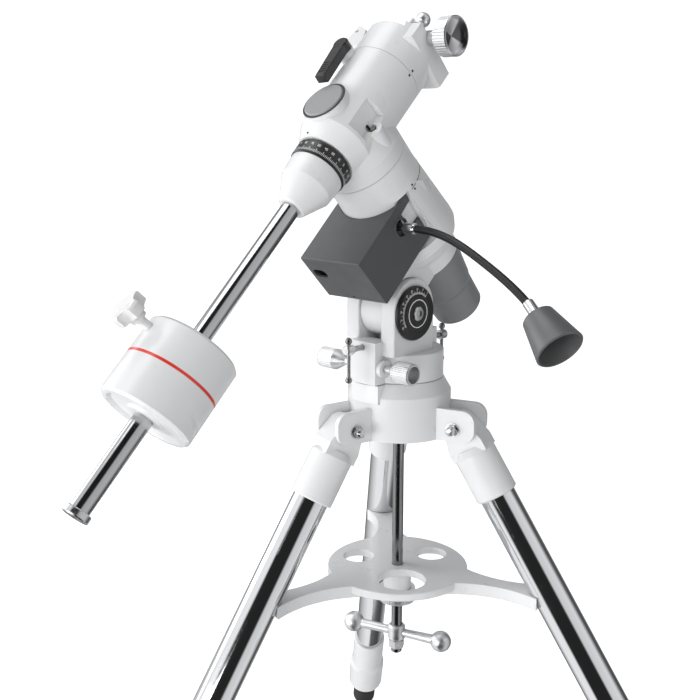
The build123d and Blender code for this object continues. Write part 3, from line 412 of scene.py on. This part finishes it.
SEGMENTS = {
    "0": "abcdef", "1": "bc", "2": "abged", "3": "abgcd", "4": "fgbc",
    "5": "afgcd", "6": "afgedc", "7": "abc", "8": "abcdefg", "9": "gfabcd",
}
STROKES = {
    "a": ((0, 2), (1, 2)), "b": ((1, 2), (1, 1)), "c": ((1, 1), (1, 0)), "d": ((0, 0), (1, 0)),
    "e": ((0, 0), (0, 1)), "f": ((0, 1), (0, 2)), "g": ((0, 1), (1, 1)),
}


def digits(shape, text, size, stroke, to_surface):
    """Plain numerals made of strokes; to_surface maps flat text coordinates onto a scale."""
    advance = size * 0.75
    start = -advance * len(text) / 2 + advance * 0.12
    for place, letter in enumerate(text):
        for name in SEGMENTS[letter]:
            (x0, y0), (x1, y1) = STROKES[name]
            left = start + place * advance
            begin = Vector((left + x0 * size / 2, (y0 - 1) * size / 2))
            end = Vector((left + x1 * size / 2, (y1 - 1) * size / 2))
            along = (end - begin).normalized() * stroke / 2
            side = Vector((-along.y, along.x))
            flat = [begin - along - side, begin - along + side, end + along + side, end + along - side]
            shape.faces.new([shape.verts.new(to_surface(corner)) for corner in flat])


def screw_head(shape, radius, height, slot_width):
    """Small domed screw with a crossed recess."""
    outline = [(0, -0.5 * MM), (radius, -0.5 * MM), (radius, height * 0.5), (radius * 0.8, height)]
    turned(shape, outline + [(0, height * 1.05)], 24)
    for angle in (0, 90):
        turn = radians(angle + 20)
        along = Vector((cos(turn), sin(turn), 0)) * radius * 0.62
        side = Vector((-sin(turn), cos(turn), 0)) * slot_width / 2
        centre = Vector((0, 0, height * 1.06))
        shape.faces.new([shape.verts.new(centre + corner) for corner in
                         (along + side, along - side, -along - side, -along + side)])


# ==== stage ===========================================================================
def build_floor(material):
    """Pale floor that curves up into a backdrop behind the mount."""
    shape = bmesh.new()
    away = Vector((-0.674, 0.7076, 0)).normalized()
    side = Vector((away.y, -away.x, 0))
    profile = [(-4.0, 0.0), (2.6, 0.0)]
    for index in range(1, 13):
        turn = radians(90 * index / 12)
        profile.append((2.6 + 1.8 * sin(turn), 1.8 * (1 - cos(turn))))
    profile.append((4.4, 5.0))
    rows = []
    for distance, height in profile:
        middle = away * distance + Vector((0, 0, height))
        rows.append([shape.verts.new(middle - side * 6), shape.verts.new(middle + side * 6)])
    for near, far in zip(rows, rows[1:]):
        shape.faces.new((near[0], near[1], far[1], far[0]))
    mesh = bpy.data.meshes.new("floor")
    shape.to_mesh(mesh)
    shape.free()
    floor = bpy.data.objects.new("floor", mesh)
    bpy.context.scene.collection.objects.link(floor)
    mesh.materials.append(material)
    for face in mesh.polygons:
        face.use_smooth = True
    floor.visible_glossy = False


# Floor's own light, as the camera sees it and as it falls on the mount.
FLOOR_GLOW = 0.72
FLOOR_BOUNCE = 0.12


def floor_material():
    """Matt white paper sweep with faint fibre."""
    s = Shader("floor_paper")
    tone = s.remap(s.noise(3.0, 3.0), 0.3, 0.7, 0.985, 1.0)
    colour = s.mix(tone, grey(0.80), grey(0.93))
    rays = s.node("ShaderNodeLightPath")
    strength = s.remap(rays.outputs["Is Camera Ray"], 0.0, 1.0, FLOOR_BOUNCE, FLOOR_GLOW)
    glow = s.node("ShaderNodeEmission", Color=grey(1.0), Strength=strength)
    matt = s.node("ShaderNodeBsdfDiffuse", Color=colour)
    both = s.node("ShaderNodeAddShader")
    s.tree.links.new(glow.outputs[0], both.inputs[0])
    s.tree.links.new(matt.outputs[0], both.inputs[1])
    output = s.node("ShaderNodeOutputMaterial")
    s.tree.links.new(both.outputs[0], output.inputs["Surface"])
    return s.material


def area_light(name, place, target, size, power):
    """Soft rectangular light aimed at a point."""
    data = bpy.data.lights.new(name, "AREA")
    data.shape = "RECTANGLE"
    data.size, data.size_y = size
    data.energy = power
    light = bpy.data.objects.new(name, data)
    bpy.context.scene.collection.objects.link(light)
    light.location = place
    light.rotation_euler = (Vector(target) - Vector(place)).to_track_quat("-Z", "Y").to_euler()
    return light


# Compass direction in degrees (0 is +X, 90 is +Y) and brightness seen there by polished metal.
GLOSSY_BANDS = ((-180, 0.55), (-150, 0.95), (-100, 0.95), (-88, 0.02), (-22, 0.02), (-12, 0.7), (35, 0.8),
                (60, 0.12), (80, 0.06), (110, 0.5), (150, 0.15), (180, 0.55))
AMBIENT = 0.27


def build_world():
    """White backdrop for the camera, dim room light, and tall black flags seen in polished metal."""
    world = bpy.data.worlds.new("studio")
    bpy.context.scene.world = world
    world.use_nodes = True
    tree = world.node_tree
    tree.nodes.clear()
    coords = tree.nodes.new("ShaderNodeTexCoord")
    parts = tree.nodes.new("ShaderNodeSeparateXYZ")
    tree.links.new(coords.outputs["Generated"], parts.inputs[0])
    angle = tree.nodes.new("ShaderNodeMath")
    angle.operation = "ARCTAN2"
    tree.links.new(parts.outputs["Y"], angle.inputs[0])
    tree.links.new(parts.outputs["X"], angle.inputs[1])
    share = tree.nodes.new("ShaderNodeMapRange")
    for key, value in (("From Min", -pi), ("From Max", pi), ("To Min", 0.0), ("To Max", 1.0)):
        share.inputs[key].default_value = value
    tree.links.new(angle.outputs[0], share.inputs["Value"])
    flags = tree.nodes.new("ShaderNodeValToRGB")
    fill_ramp(flags.color_ramp, GLOSSY_BANDS)
    tree.links.new(share.outputs[0], flags.inputs[0])
    rays = tree.nodes.new("ShaderNodeLightPath")
    colour = flags.outputs["Color"]
    for kind, tone in (("Is Diffuse Ray", AMBIENT), ("Is Camera Ray", 1.0)):
        choose = tree.nodes.new("ShaderNodeMix")
        choose.data_type = "RGBA"
        tree.links.new(rays.outputs[kind], choose.inputs["Factor"])
        tree.links.new(colour, choose.inputs[6])
        choose.inputs[7].default_value = (tone * 0.98, tone * 0.99, tone, 1)
        colour = choose.outputs[2]
    background = tree.nodes.new("ShaderNodeBackground")
    tree.links.new(colour, background.inputs["Color"])
    output = tree.nodes.new("ShaderNodeOutputWorld")
    tree.links.new(background.outputs[0], output.inputs["Surface"])


def fill_ramp(ramp, bands):
    """Sets a colour ramp's stops from (degrees, brightness) pairs."""
    stops = ramp.elements
    while len(stops) < len(bands):
        stops.new(0.5)
    for stop, (degrees, brightness) in zip(stops, bands):
        stop.position = (degrees + 180) / 360
        stop.color = (brightness, brightness, brightness * 1.02, 1)


def build_camera():
    """The photograph's viewpoint: a little above the saddle, 41 degrees round from the front."""
    data = bpy.data.cameras.new("camera")
    data.lens = 51.43
    data.sensor_width = 36.0
    camera = bpy.data.objects.new("camera", data)
    bpy.context.scene.collection.objects.link(camera)
    right = Vector((0.7241, 0.6897, 0.0))
    up = Vector((-0.1465, 0.1538, 0.9772))
    camera.matrix_world = Matrix.Translation((0.6747, -0.7844, 0.9007)) @ Matrix(
        (right, up, right.cross(up))).transposed().to_4x4()
    bpy.context.scene.camera = camera


def build_lights():
    """Broad low key light from the front, softer ones from the left and right and a weak top light."""
    middle = (0, -0.05, 0.72)
    area_light("key", (-0.35, -2.6, 0.5), middle, (2.2, 1.2), 42)
    area_light("side", (-2.4, -1.0, 1.3), middle, (1.5, 1.5), 22)
    area_light("top", (-0.6, -0.6, 2.8), middle, (1.6, 1.6), 19)
    area_light("right", (2.4, -1.5, 1.5), middle, (1.5, 1.5), 14).visible_glossy = False


# ==== the mount's finishes ================================================================
def leg_axes():
    """Direction of each leg, read from its sliding joint."""
    return {name: Vector(JOINTS[f"lower_leg_{name}_extend"]["axis"]) for name in "abc"}


def assign_finishes(finishes):
    """Gives each CAD node its node material and smooth shading."""
    legs = leg_axes()
    tubes = {name: polished(f"polished_leg_{name}", 0.82, axis) for name, axis in legs.items()}
    special = {
        "counterweight": enamel("weight_enamel", 0.80, weight_stripe),
        "counterweight_shaft": polished("polished_bar", 0.50, UP_DIR, 0.09),
        "centre_rod": polished("polished_rod", 0.30, (0, 0, 1), 0.12),
        "slow_motion_cable": cable_sheath("cable_finish"),
        "saddle_knob": spun("saddle_knob_metal", 0.80, joint_place("saddle_knob_turn"), ACROSS, 0.28,
                            16.6 * MM),
        "tee_handle": plated("satin_plating", 0.82, 0.38),
        "slow_motion_knob": moulded("cup_plastic", 0.11, 0.40, 1400, -0.02),
        "latitude_screw_front": plated("screw_steel", 0.42, 0.30),
        "latitude_screw_rear": plated("screw_steel_rear", 0.42, 0.30),
        "tommy_bar_front": bar_handle("dark_bar", joint_place("tommy_bar_front_turn")),
        "tommy_bar_rear": bar_handle("dark_bar_rear", joint_place("tommy_bar_rear_turn")),
    }
    for name, material in tubes.items():
        special[f"leg_tube_{name}"] = material
        special[f"lower_leg_{name}"] = material
    slots = {entry["node"]: entry["material_slot"] for entry in frame["record"]["subparts"]}
    for node, obj in NODES.items():
        obj.data.materials.clear()
        obj.data.materials.append(special.get(node) or finishes[slots[node]])
        smooth_node(obj)


def smooth_node(obj):
    """Smooth shading on a CAD node, keeping its real edges sharp."""
    for face in obj.data.polygons:
        face.use_smooth = True
    if obj.data.has_custom_normals:
        return
    obj.data.set_sharp_from_angle(angle=CREASE)


def make_finishes():
    """One material per slot of the record."""
    return {
        "white_paint": enamel("white_enamel", 0.80),
        "weight_paint": enamel("weight_enamel_plain", 0.80),
        "polished_steel": polished("polished_steel_finish", 0.82, (0, 0, 1)),
        "bar_steel": plated("bar_end_plating", 0.60, 0.24),
        "fastener_steel": plated("fastener_plating", 0.66, 0.26),
        "rod_steel": polished("rod_plating", 0.30, (0, 0, 1), 0.12),
        "knob_metal": plated("knob_plating", 0.84, 0.38),
        "grey_plastic": moulded("box_plastic", 0.085, 0.46, 1700, -0.03),
        "mid_grey_plastic": moulded("cover_plastic", 0.24, 0.38, 1400, -0.03),
        "cap_grey": moulded("cap_plastic", 0.30, 0.42, 1400, -0.02),
        "black_plastic": moulded("lever_plastic", 0.012, 0.30, 1200, coat=0.2),
        "scale_black": moulded("scale_black_finish", 0.014, 0.34, 1500),
        "white_plastic": moulded("white_knob_plastic", 0.78, 0.28, 900, coat=0.3),
        "foot_rubber": rubber("foot_rubber_finish", 0.02),
        "gear_bronze": machined("gear_bronze_finish", (0.62, 0.43, 0.20), 0.3),
        "machined_steel": machined("machined_steel_finish", (0.5, 0.51, 0.52), 0.28),
        "scope_black": moulded("scope_black_finish", 0.02, 0.35, 1300),
        "cable_black": rubber("cable_rubber", 0.03),
    }


# ==== small detail =========================================================================
def dial_details(ink, steel):
    """Latitude scale, its numerals, and a plain hexagon-socket cap in the middle."""
    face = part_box("latitude_dial")[1].x
    place = basis(Vector((0, LATITUDE_POINT.y, LATITUDE_POINT.z)), ACROSS, (0, 1, 0))
    slope = face - 1.85 * MM

    def scale(shape):
        angles = [50 + 2.5 * index for index in range(67)]
        lengths = [3.6 * MM if index % 4 == 0 else 2.0 * MM for index in range(67)]
        ring_ticks(shape, angles, lengths, 19.6 * MM, slope + 0.30 * MM, 0.34 * MM, 0.25 * MM)
        for index in range(0, 67, 8):
            digits_on_face(shape, str(index * 10 // 8), 50 + 2.5 * index, 24.9 * MM, slope + 0.20 * MM)

    piece("dial_scale", "polar", ink, scale, place)

    def ring(shape):
        turned(shape, [(13.6 * MM, face), (13.6 * MM, face + 0.25 * MM), (14.6 * MM, face + 0.25 * MM),
                       (14.6 * MM, face), (13.6 * MM, face)], 64)

    piece("dial_ring", "polar", ink, ring, place)

    def cap(shape):
        rim = [(0, face), (7.4 * MM, face), (7.4 * MM, face + 0.9 * MM), (6.8 * MM, face + 1.5 * MM)]
        socket = [(4.2 * MM, face + 1.7 * MM), (4.2 * MM, face + 0.2 * MM), (0, face + 0.2 * MM)]
        turned(shape, rim + socket)

    piece("dial_cap", "polar", steel, cap, place)


def digits_on_face(shape, text, angle, radius, height):
    """Numerals standing upright to the middle of a dial."""
    turn = radians(angle)
    out = Vector((cos(turn), sin(turn), 0))
    side = Vector((-sin(turn), cos(turn), 0))

    def to_surface(flat):
        return out * (radius + flat.y) - side * flat.x + Vector((0, 0, height + 0.3 * MM))

    digits(shape, text, 1.9 * MM, 0.3 * MM, to_surface)


def setting_circle_details(ink):
    """Declination scale: ticks under a row of numerals."""
    place = basis(DEC_POINT, UP_DIR, ACROSS)
    radius = 28.4 * MM

    def scale(shape):
        angles = [3.0 * index for index in range(120)]
        lengths = [4.2 * MM if index % 5 == 0 else 2.4 * MM for index in range(120)]
        drum_ticks(shape, angles, lengths, radius, -50.8 * MM, 0.45 * MM, 0.08 * MM)
        for index in range(24):
            value = abs((index * 15 + 90) % 180 - 90)
            wrap_digits(shape, str(value), 15.0 * index, radius + 0.08 * MM, -42.6 * MM)

    piece("setting_circle_scale", "dec_setting_circle", ink, scale, place)


def wrap_digits(shape, text, angle, radius, height):
    """Numerals wrapped round a drum."""
    def to_surface(flat):
        turn = radians(angle) + flat.x / radius
        return Vector((cos(turn) * radius, sin(turn) * radius, height + flat.y))

    digits(shape, text, 2.1 * MM, 0.36 * MM, to_surface)


def seam_screws(steel):
    """Pairs of small screws beside the two main seams, and a set screw above the scale."""
    def pair(body, name, origin, axis, spots, radius):
        for index, (angle, height, distance) in enumerate(spots):
            turn = radians(angle)
            other = axis.cross(ACROSS)
            out = ACROSS * cos(turn) + other * sin(turn)
            place = basis(origin + axis * height * MM + out * distance * MM, out, axis)
            piece(f"{name}_{index + 1}", body, steel,
                  lambda shape: screw_head(shape, radius, 0.5 * MM, 0.5 * MM), place)

    pair("ra", "dec_seam_screw_low", DEC_POINT, UP_DIR, [(-5, 72.4, 37.8)], 1.3 * MM)
    pair("dec", "dec_seam_screw_high", DEC_POINT, UP_DIR, [(-5, 78.4, 37.8)], 1.3 * MM)
    pair("polar", "polar_seam_screw", POLAR_POINT, POLAR_DIR, [(0, 105.4, 44.4), (0, 99.9, 44.7)], 1.2 * MM)
    pair("ra", "nose_set_screw", DEC_POINT, UP_DIR, [(-97, -32.5, 31.0)], 1.3 * MM)


def fitting_details(black, plastic):
    """Parting line of the polar casting, the front cap's dark rim and the drive box's cable collar."""
    polar = basis(POLAR_POINT, POLAR_DIR, ACROSS)

    def seam(shape):
        arc_band(shape, 44.72 * MM, 102.4 * MM, 102.95 * MM, -4, 184)

    piece("polar_seam_line", "polar", black, seam, polar)

    def rim(shape):
        top = 213.5 * MM
        turned(shape, [(20.7 * MM, top), (20.7 * MM, top + 0.5 * MM), (22.4 * MM, top + 0.5 * MM),
                       (22.6 * MM, top), (20.7 * MM, top)], 64)

    piece("front_cap_rim", "ra", black, rim, polar)

    port = joint_place("ra_worm_turn")
    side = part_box("motor_box")[1].x

    def collar(shape):
        inner = [(8.6 * MM, side - 1 * MM), (8.6 * MM, side + 1.2 * MM), (9.6 * MM, side + 1.2 * MM)]
        outer = [(10.4 * MM, side + 0.3 * MM), (10.4 * MM, side - 0.2 * MM), (8.6 * MM, side - 1 * MM)]
        turned(shape, inner + outer)

    piece("cable_port_collar", "polar", plastic, collar,
          basis(Vector((0, port.y, port.z)), ACROSS, UP_DIR))


def arc_band(shape, radius, low, high, start, end):
    """Thin raised band round part of a cylinder."""
    steps = 72
    rows = []
    for index in range(steps + 1):
        turn = radians(start + (end - start) * index / steps)
        out = Vector((cos(turn), sin(turn), 0))
        inner, outer = out * (radius - 0.3 * MM), out * (radius + 0.12 * MM)
        corners = (inner, low), (outer, low), (outer, high), (inner, high)
        rows.append([shape.verts.new(spot + Vector((0, 0, height))) for spot, height in corners])
    for near, far in zip(rows, rows[1:]):
        for index in range(4):
            after = (index + 1) % 4
            shape.faces.new((near[index], near[after], far[after], far[index]))
    shape.faces.new(rows[0])
    shape.faces.new(rows[-1])


def main():
    finishes = make_finishes()
    assign_finishes(finishes)
    ink = printed("scale_ink", 0.85)
    dial_details(ink, finishes["fastener_steel"])
    setting_circle_details(ink)
    seam_screws(finishes["scope_black"])
    fitting_details(finishes["scope_black"], finishes["grey_plastic"])
    build_floor(floor_material())
    build_world()
    build_lights()
    build_camera()
    bpy.context.scene.view_settings.view_transform = "Standard"


main()
